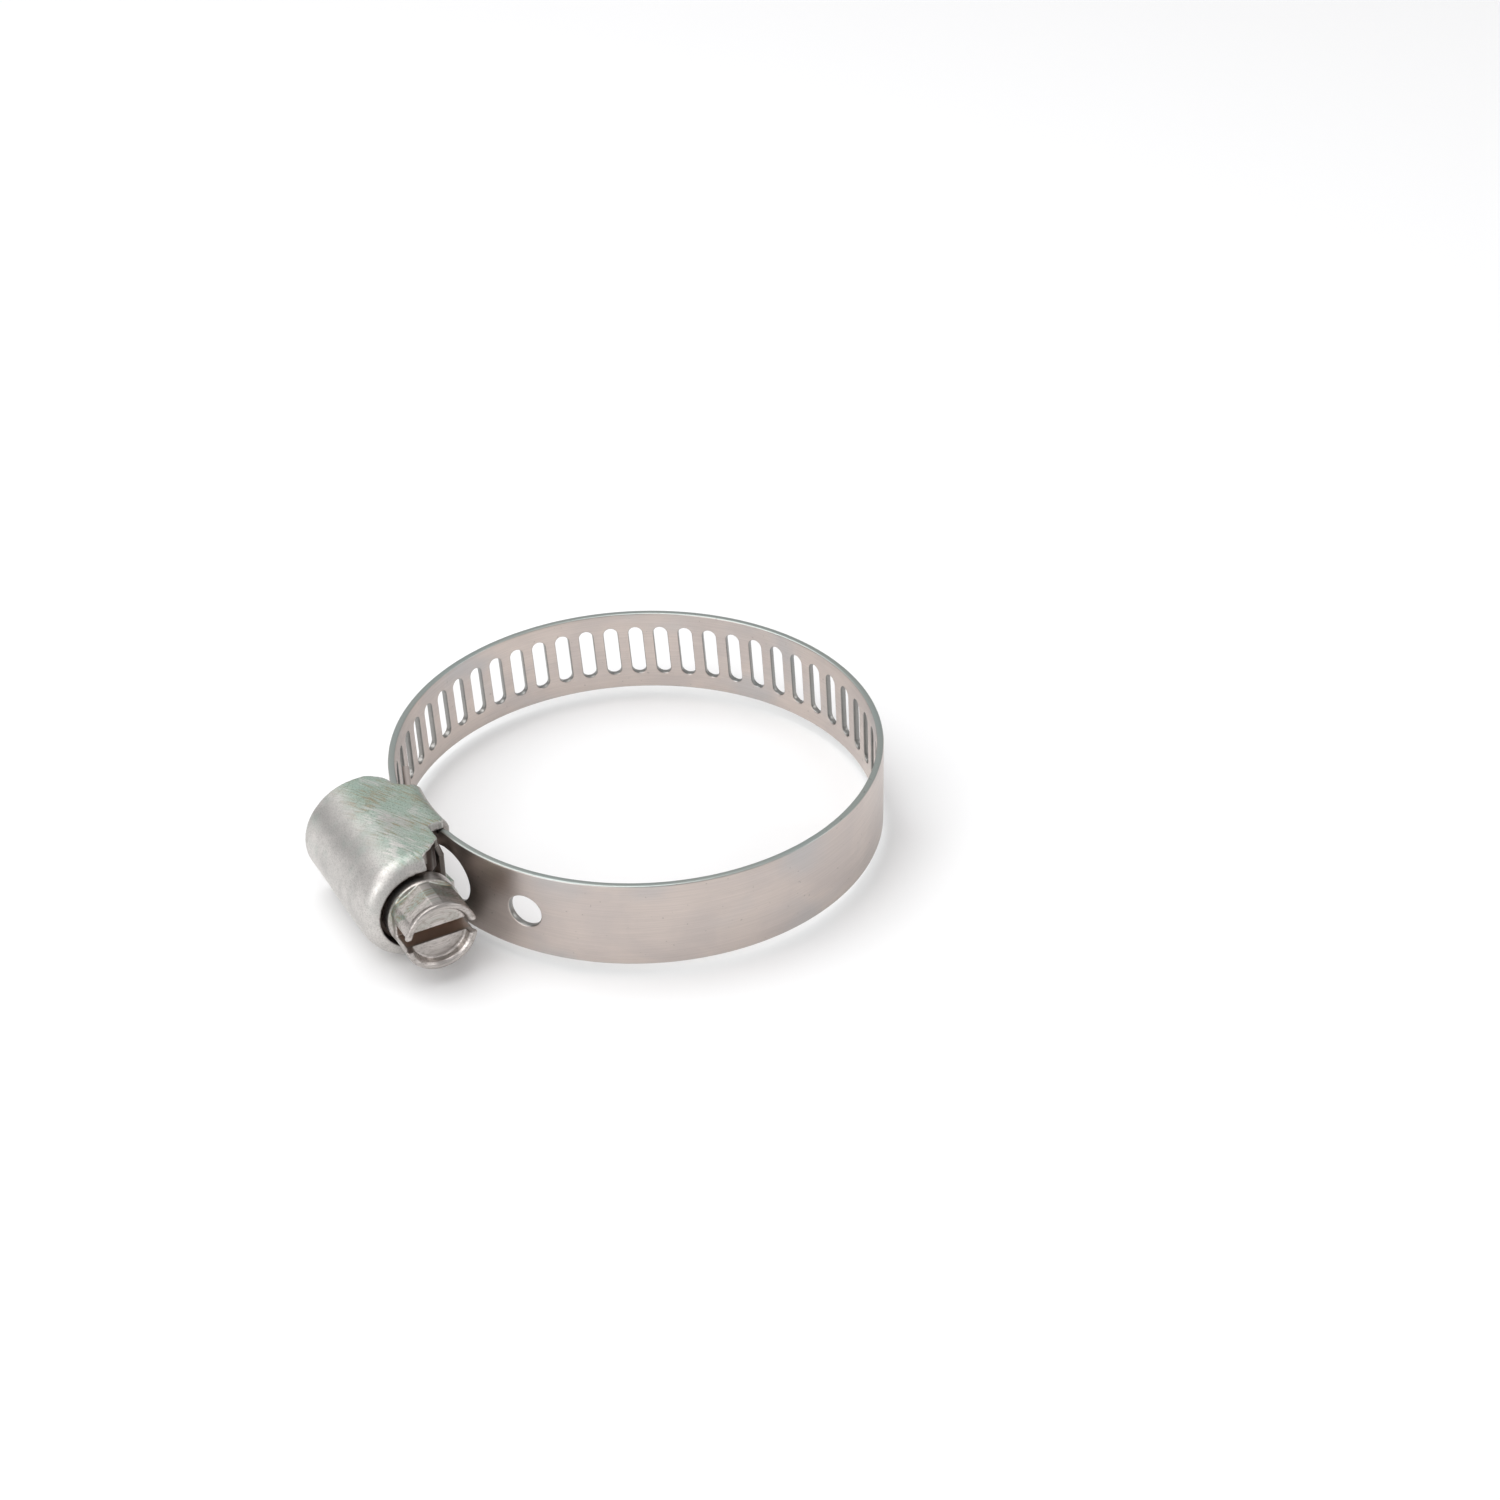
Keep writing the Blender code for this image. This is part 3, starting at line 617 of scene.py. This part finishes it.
def band_stretch(name, start, end, joints, material):
    """A stretch of strip, bent to its line; it meets the next stretch at each joint."""
    strip = flat_strip(start, end)
    divisions = int((end - start) / BAND_STEP)
    for i in range(1, divisions):
        bmesh.ops.bisect_plane(
            strip, geom=strip.verts[:] + strip.edges[:] + strip.faces[:],
            plane_co=(start + (end - start) * i / divisions, 0, 0), plane_no=(1, 0, 0),
            dist=CUT_TOLERANCE)
    places = [tuple(vertex.co) for vertex in strip.verts]
    normals = []
    corners = [corner.vert.co.copy() for face in strip.faces for corner in face.loops]
    for place, normal in zip(corners, strip_normals(strip, joints)):
        ahead = Vector(bend_to_ring(place.x + TANGENT_STEP, place.y, place.z))
        behind = Vector(bend_to_ring(place.x - TANGENT_STEP, place.y, place.z))
        tangent = (ahead - behind).normalized()
        outward = Vector((tangent.y, -tangent.x, 0))
        normals.append(tangent * normal.x + Vector((0, 0, normal.y)) + outward * normal.z)
    for vertex in strip.verts:
        vertex.co = Vector(bend_to_ring(*vertex.co))
    mesh = bpy.data.meshes.new(name)
    strip.to_mesh(mesh)
    strip.free()
    mesh.shade_smooth()
    remember_place(mesh, places)
    to_frame(mesh)
    mesh.normals_split_custom_set(normals)
    return show(mesh, name, material)


def build_band():
    """One stretch for each hinge, reaching across it."""
    material = band_material()
    bodies = ["housing"] + [joint["child"] for joint in BAND_HINGES]
    nodes = ["band_fixed_end"] + [frame["record"]["behaviour"]["bodies"][body][0]
                                  for body in bodies[1:]]
    half = LENGTH_ARC / 2
    for number in range(len(BAND_HINGES)):
        hinge = FIRST_HINGE + number * LENGTH_ARC
        first, last = number == 0, number == len(BAND_HINGES) - 1
        start = TONGUE_END if first else hinge - half
        end = TAIL_TIP if last else hinge + half
        joints = [place for place, free in ((start, first), (end, last)) if not free]
        stretch = band_stretch("band_stretch_%02d" % (number + 1), start, end, joints,
                               material)
        reach = hinge - JOGGLE[1] - JOGGLE_MARGIN if first else half - BEND_MARGIN
        ends = [((x + RING_X) * MM, (y + RING_Y) * MM, z * MM) for x, y, z in
                [bend_to_ring(arc, MIDDLE_HEIGHT, 0) for arc in (hinge - reach, hinge + reach)]]
        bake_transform(stretch)
        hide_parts(*([nodes[0], nodes[1]] if first else [nodes[number + 1]]))


# ---------------------------------------------------------------- screw

# Radii and places along the axis, with finer edges than the solid has.
WORM_CREST_RADIUS = 2.70
WORM_CORE_RADIUS = 1.95
THREAD_ROOT_WIDTH = 0.80
THREAD_SHOULDER_WIDTH = 0.40
THREAD_CREST_WIDTH = 0.26
THREAD_EDGE = 0.10
THREAD_START = -4.5
THREAD_TURNS = 3.5
THREAD_STEPS = 72                    # per turn
THREAD_PHASE = 0.21                  # crest ahead of the slot's middle at rest
CORE_END = -4.8
PILOT_RADIUS = 1.6
PILOT_END = -5.4
PILOT_EDGE = 0.1
NECK_RADIUS = 2.1
NECK_START = 4.7
FLANGE_RADIUS = 3.25
FLANGE_START = 6.6
FLANGE_END = 8.1
SCREW_EDGE = 0.2                     # broken edges
STEM_RADIUS = 2.35                   # the round core of the hexagon
HEX_ACROSS_FLATS = 5.9
HEX_CORNER_RADIUS = 3.19
HEX_START = 8.0
HEX_END = 11.29
FLARE_START = 9.2                    # from here the collar flares out of the hexagon
FLARE_LENGTH = 2.0
FLARE_GROWTH = 0.83
FLARE_POWER = 1.6
FLARE_STEPS = 10
COLLAR_RADIUS = 3.2
COLLAR_EDGE = 0.18
HEAD_END = 11.6
RECESS_RADIUS = 2.55
RECESS_DEPTH = 0.8
RECESS_MOUTH = (0.2, 0.25)           # how much its mouth widens, and over what depth
RECESS_TAPER = 0.05
RECESS_CORNER = 0.08
DRIVER_SLOT_WIDTH = 1.25
DRIVER_SLOT_DEPTH = 2.7
SCREW_VOXEL = 0.055
SCREW_RELAXING = 3


def worm_ridge():
    """The worm's right-hand thread, swept along Z with the head up.

    A crest faces the band where a slot's middle lies at rest, one loop of strip further on."""
    loop = 2 * pi * START_RADIUS + pi * SPIRAL_GROWTH * 2 * pi
    crest = FIRST_HINGE + (LAST_SLOT - 2) * SLOT_PITCH - loop + THREAD_PHASE
    steps = int(THREAD_TURNS * THREAD_STEPS)
    flank = [(WORM_CORE_RADIUS - OVERLAP, THREAD_ROOT_WIDTH / 2),
             (WORM_CREST_RADIUS - THREAD_EDGE, THREAD_SHOULDER_WIDTH / 2),
             (WORM_CREST_RADIUS, THREAD_CREST_WIDTH / 2)]
    profile = [(radius, -offset) for radius, offset in flank] + flank[::-1]
    ridge = bmesh.new()
    face = ridge.faces.new([ridge.verts.new((-radius, 0, THREAD_START + offset))
                            for radius, offset in profile])
    turn = 2 * pi * (THREAD_START - crest) / SLOT_PITCH
    bmesh.ops.rotate(ridge, verts=ridge.verts, cent=(0, 0, 0),
                     matrix=Matrix.Rotation(turn, 3, "Z"))
    bmesh.ops.spin(ridge, geom=[face], cent=(0, 0, 0), axis=(0, 0, 1),
                   dvec=(0, 0, SLOT_PITCH / THREAD_STEPS),
                   angle=2 * pi * steps / THREAD_STEPS, steps=steps, use_duplicate=False)
    bmesh.ops.recalc_face_normals(ridge, faces=ridge.faces)
    if ridge.calc_volume(signed=True) < 0:
        bmesh.ops.reverse_faces(ridge, faces=ridge.faces)
    return new_object(ridge, "worm_ridge")


def turned_profile():
    """The screw's outline from the head down, as (radius, along)."""
    shares = [1 - i / FLARE_STEPS for i in range(FLARE_STEPS + 1)]
    flare = [(STEM_RADIUS + FLARE_GROWTH * share ** FLARE_POWER,
              FLARE_START + FLARE_LENGTH * share) for share in shares]
    return [(0, HEAD_END), (COLLAR_RADIUS - COLLAR_EDGE, HEAD_END),
            (COLLAR_RADIUS - COLLAR_EDGE / 3, HEAD_END - COLLAR_EDGE / 3),
            (COLLAR_RADIUS, HEAD_END - COLLAR_EDGE), *flare,
            (STEM_RADIUS, FLANGE_END), (FLANGE_RADIUS - SCREW_EDGE, FLANGE_END),
            (FLANGE_RADIUS - 0.25 * SCREW_EDGE, FLANGE_END - 0.35 * SCREW_EDGE),
            (FLANGE_RADIUS, FLANGE_END - SCREW_EDGE), (FLANGE_RADIUS, FLANGE_START),
            (NECK_RADIUS, FLANGE_START), (NECK_RADIUS, NECK_START),
            (WORM_CORE_RADIUS, NECK_START - SCREW_EDGE), (WORM_CORE_RADIUS, CORE_END),
            (PILOT_RADIUS, CORE_END - SCREW_EDGE), (PILOT_RADIUS, PILOT_END + PILOT_EDGE),
            (PILOT_RADIUS - PILOT_EDGE, PILOT_END), (0, PILOT_END)]


def hexagon_solid():
    """The hexagon with its corners turned off."""
    low, high = HEX_START, HEX_END + 0.01
    mesh = bmesh.new()
    bmesh.ops.create_cone(mesh, cap_ends=True, segments=6, radius1=HEX_ACROSS_FLATS / sqrt(3),
                          radius2=HEX_ACROSS_FLATS / sqrt(3), depth=high - low,
                          matrix=Matrix.Translation((0, 0, (low + high) / 2)))
    hexagon = new_object(mesh, "hexagon")
    rounding = [(0, HEX_END), (HEX_CORNER_RADIUS, HEX_END), (HEX_CORNER_RADIUS, HEX_START),
                (0, HEX_START)]
    combine(hexagon, turned("hexagon_rounding", rounding), "INTERSECT")
    return hexagon


def recess_solid():
    floor = HEAD_END - RECESS_DEPTH
    mouth, inner = RECESS_RADIUS + RECESS_MOUTH[0], RECESS_RADIUS - RECESS_TAPER
    return turned("recess", [(0, CUTTER_TOP), (mouth, CUTTER_TOP), (mouth, HEAD_END),
                             (RECESS_RADIUS, HEAD_END - RECESS_MOUTH[1]),
                             (inner, floor + RECESS_CORNER), (inner - RECESS_CORNER, floor),
                             (0, floor)])


def build_screw():
    """Turned body with a collar that flares out of the hexagon, slotted across a recess."""
    body = turned("screw_body", turned_profile())
    combine(body, hexagon_solid(), "UNION")
    combine(body, worm_ridge(), "UNION")
    combine(body, recess_solid(), "DIFFERENCE")
    half_slot = DRIVER_SLOT_WIDTH / 2
    combine(body, block("driver_slot", (-CUTTER_REACH, -half_slot, HEAD_END - DRIVER_SLOT_DEPTH),
                        (CUTTER_REACH, half_slot, CUTTER_TOP)), "DIFFERENCE")
    soften(body, SCREW_VOXEL, SCREW_RELAXING)
    mesh = applied_mesh(body)
    lay_down = Matrix(((-1, 0, 0, -AXIS_OUTWARD), (0, 0, -1, 0), (0, -1, 0, MIDDLE_HEIGHT),
                       (0, 0, 0, 1)))
    mesh.transform(lay_down)
    mesh.shade_smooth()
    remember_place(mesh, [(-v.co.y, hypot(v.co.x + AXIS_OUTWARD, v.co.z - MIDDLE_HEIGHT),
                           v.co.z - MIDDLE_HEIGHT) for v in mesh.vertices])
    to_frame(mesh)
    screw = show(mesh, "screw_body", screw_material())
    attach(screw, "screw")
    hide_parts("worm_screw")


# ---------------------------------------------------------------- housing

BARREL_RADIUS = 5.0
BARREL_STEPS = 96
BARREL_FAR, BARREL_NEAR = -6.1, 7.4
BARREL_FLOOR = 22.0                  # the barrel's block reaches down to here
WALL = 0.85
FOOT_INNER = 19.5
FOOT_TOP = 20.05
FOOT_GAP = 3.6
BEND_RADIUS = 1.3
BEND_INNER_RADIUS = 0.4
BEND_STEPS = 12
SIDES_TOP = 22.6                     # the sides' block reaches up to here
SIDES_NEAR = 6.7
DOME_RADIUS = 1.5
DOME_STEPS = 12
SAME_FACE = radians(0.5)
SHARP_ANGLE = radians(35)
END_WALL_BACK = 5.5
END_WALL_FRONT = 6.4
MOUTH_RADIUS = 3.65
NECK_HOLE_RADIUS = 2.4
HOUSING_VOXEL = 0.09
HOUSING_RELAXING = 4

# Side view of the housing's two ends, as (along, outward) corners.
FOOT_NEAR, FOOT_FAR = 2.8, -3.0
NOTCH = (3.2, 20.25)
NEAR_CORNERS = [(NOTCH[0], 21.36), (5.12, 21.36), (5.32, 21.46), (5.36, 21.68), (5.66, 21.84),
                (5.84, 22.12), (6.16, 22.38), (6.35, 22.7), (6.65, 23.3)]
FAR_CORNERS = [(FOOT_FAR, 20.5), (-3.8, 21.4), (-5.0, 21.9), (-5.7, 22.6), (BARREL_FAR, 23.2)]

FOLLOW_START = 22.2                  # the sides follow the ring below this distance,
FOLLOW_BLEND = 1.4                   # and are straight from this much further out
FOLLOW_ROUNDS = 30


def half_round(radius):
    return arc_points((AXIS_OUTWARD, MIDDLE_HEIGHT), radius, -pi / 2, pi / 2,
                      BARREL_STEPS)


def arch(radius, floor):
    return half_round(radius) + [(floor, MIDDLE_HEIGHT + radius), (floor, MIDDLE_HEIGHT - radius)]


def d_outline(radius, floor, corner):
    upper = arc_points((floor + corner, MIDDLE_HEIGHT + radius - corner), corner, pi / 2, pi,
                       BEND_STEPS)
    lower = arc_points((floor + corner, MIDDLE_HEIGHT - radius + corner), corner,
                       pi, 3 * pi / 2, BEND_STEPS)
    return half_round(radius) + upper + lower


def barrel():
    """The shell's outside round the screw, with the near end rounded over."""
    shape = end_plate("barrel", arch(BARREL_RADIUS, BARREL_FLOOR), BARREL_FAR, BARREL_NEAR)
    rounded = bmesh.new()
    rounded.from_mesh(shape.data)
    bmesh.ops.dissolve_limit(rounded, angle_limit=SAME_FACE, verts=rounded.verts,
                             edges=rounded.edges)
    edges = [edge for edge in rounded.edges
             if all(abs(vertex.co.y + BARREL_NEAR) < WELD_DISTANCE for vertex in edge.verts)
             and edge.calc_face_angle(0) > SHARP_ANGLE]
    bmesh.ops.bevel(rounded, geom=edges, offset=DOME_RADIUS, segments=DOME_STEPS, profile=0.5,
                    affect="EDGES")
    rounded.to_mesh(shape.data)
    rounded.free()
    return shape


def follow_drop(along, outward):
    """How far the stamped sides drop at a place, where they follow the ring."""
    share = 1 - smooth_step((outward - FOLLOW_START) / FOLLOW_BLEND)
    return share * along ** 2 / (2 * START_RADIUS)


def before_following(corner):
    """Where a corner of the finished side view lies before the sides are bent."""
    along, outward = corner
    place = outward
    for _ in range(FOLLOW_ROUNDS):
        place += (outward + follow_drop(along, place) - place) / 2
    return along, place


def build_housing():
    """One stamped sheet round the screw, folded under the band as two feet."""
    body = barrel()
    sides = end_plate("sides", d_outline(BARREL_RADIUS, FOOT_INNER, BEND_RADIUS), BARREL_FAR,
                      SIDES_NEAR)
    combine(sides, block("sides_trim", (-CUTTER_OUTWARD, -CUTTER_REACH, CUTTER_BELOW),
                         (-SIDES_TOP, CUTTER_REACH, CUTTER_REACH)), "DIFFERENCE")
    combine(body, sides, "UNION")
    inner_outline = d_outline(BARREL_RADIUS - WALL, FOOT_TOP, BEND_INNER_RADIUS)
    near_end = [(FOOT_NEAR, CUTTER_LOW), (FOOT_NEAR, NOTCH[1]), NOTCH,
                *[before_following(corner) for corner in NEAR_CORNERS],
                (CUTTER_REACH, NEAR_CORNERS[-1][1]), (CUTTER_REACH, CUTTER_LOW)]
    far_end = [(-CUTTER_REACH, CUTTER_LOW), (FOOT_FAR, CUTTER_LOW),
               *[before_following(corner) for corner in FAR_CORNERS],
               (-CUTTER_REACH, FAR_CORNERS[-1][1])]
    for cutter in (
            end_plate("inside", inner_outline, -CUTTER_REACH, END_WALL_BACK),
            block("feet_gap",
                  (-FOOT_TOP - BEND_INNER_RADIUS, -CUTTER_REACH, MIDDLE_HEIGHT - FOOT_GAP / 2),
                  (-CUTTER_LOW, CUTTER_REACH, MIDDLE_HEIGHT + FOOT_GAP / 2)),
            end_plate("mouth", arch(MOUTH_RADIUS, CUTTER_LOW), END_WALL_FRONT, CUTTER_REACH),
            end_plate("neck_hole", arch(NECK_HOLE_RADIUS, CUTTER_LOW), END_WALL_BACK - 1,
                      CUTTER_REACH),
            side_plate("near_end", near_end),
            side_plate("far_end", far_end)):
        combine(body, cutter, "DIFFERENCE")
    soften(body, HOUSING_VOXEL, HOUSING_RELAXING)
    mesh = applied_mesh(body)
    for vertex in mesh.vertices:
        x, y, z = vertex.co
        vertex.co.x = x + follow_drop(-y, -x)
    mesh.shade_smooth()
    remember_place(mesh, [(-v.co.y, -v.co.x, v.co.z) for v in mesh.vertices])
    to_frame(mesh)
    housing = show(mesh, "housing_shell", housing_material())
    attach(housing, "housing")
    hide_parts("housing")


# ---------------------------------------------------------------- studio

VIEW_AZIMUTH = radians(-27.5)
VIEW_ELEVATION = radians(34.68)
VIEW_ROLL = radians(1.4)
VIEW_DISTANCE = 270.8
VIEW_OFFSET = (9.52, 5.70)           # the camera's axis passes right of and above the ring
LENS = 73.76
SENSOR_WIDTH = 36
FLOOR_DROP = 0.02                    # keeps the floor clear of the part's underside


def view_axes():
    """The camera's right, up and forward directions."""
    right = Vector((cos(VIEW_AZIMUTH), sin(VIEW_AZIMUTH), 0))
    level_forward = Vector((-sin(VIEW_AZIMUTH), cos(VIEW_AZIMUTH), 0))
    forward = level_forward * cos(VIEW_ELEVATION) - Vector((0, 0, sin(VIEW_ELEVATION)))
    up = level_forward * sin(VIEW_ELEVATION) + Vector((0, 0, cos(VIEW_ELEVATION)))
    rolled_right = right * cos(VIEW_ROLL) - up * sin(VIEW_ROLL)
    rolled_up = right * sin(VIEW_ROLL) + up * cos(VIEW_ROLL)
    return rolled_right, rolled_up, forward


def build_camera():
    right, up, forward = view_axes()
    ring = Vector((RING_X, 0, MIDDLE_HEIGHT - BAND_WIDTH / 2))
    place = ring + right * VIEW_OFFSET[0] + up * VIEW_OFFSET[1] - forward * VIEW_DISTANCE
    data = bpy.data.cameras.new("view")
    data.lens = LENS
    data.sensor_width = SENSOR_WIDTH
    data.clip_start = 0.01
    camera = bpy.data.objects.new("view", data)
    bpy.context.scene.collection.objects.link(camera)
    axes = Matrix((right, up, -forward)).transposed()
    camera.matrix_world = Matrix.Translation(place * MM) @ axes.to_4x4()
    bpy.context.scene.camera = camera


def softbox(name, direction, distance, size, radiance):
    """A rectangular light that faces the part, with its distance and size in metres."""
    data = bpy.data.lights.new(name, "AREA")
    data.shape = "RECTANGLE"
    data.size, data.size_y = size
    data.energy = radiance * pi * size[0] * size[1]
    light = bpy.data.objects.new(name, data)
    light.location = Vector(direction).normalized() * distance
    light.rotation_euler = Vector(direction).to_track_quat("Z", "Y").to_euler()
    bpy.context.scene.collection.objects.link(light)


def build_studio():
    """A pale floor under an even sky, with three soft lights."""
    floor_mesh = bmesh.new()
    bmesh.ops.create_grid(floor_mesh, x_segments=2, y_segments=2, size=3.0)
    mesh = bpy.data.meshes.new("floor")
    floor_mesh.to_mesh(mesh)
    floor_mesh.free()
    floor = bpy.data.objects.new("floor", mesh)
    bpy.context.scene.collection.objects.link(floor)
    floor.location.z = -FLOOR_DROP * MM
    pale = bpy.data.materials.new("pale_floor")
    pale.use_nodes = True
    shader = pale.node_tree.nodes["Principled BSDF"]
    shader.inputs["Base Color"].default_value = (0.93, 0.93, 0.93, 1)
    shader.inputs["Roughness"].default_value = 0.9
    mesh.materials.append(pale)

    world = bpy.data.worlds.new("studio")
    world.use_nodes = True
    background = world.node_tree.nodes["Background"]
    background.inputs["Color"].default_value = (0.92, 0.92, 0.93, 1)
    background.inputs["Strength"].default_value = 0.62
    bpy.context.scene.world = world
    softbox("overhead", (-0.3, 0.2, 1.0), 0.45, (0.50, 0.50), 1.9)
    softbox("left", (-1.0, -0.5, 0.45), 0.45, (0.25, 0.25), 2.6)
    softbox("right", (1.0, -0.6, 0.6), 0.5, (0.20, 0.25), 2.0)
    bpy.context.scene.view_settings.view_transform = "Standard"


build_camera()
build_studio()
build_band()
build_screw()
build_housing()
bpy.data.collections.remove(WORKSHOP)
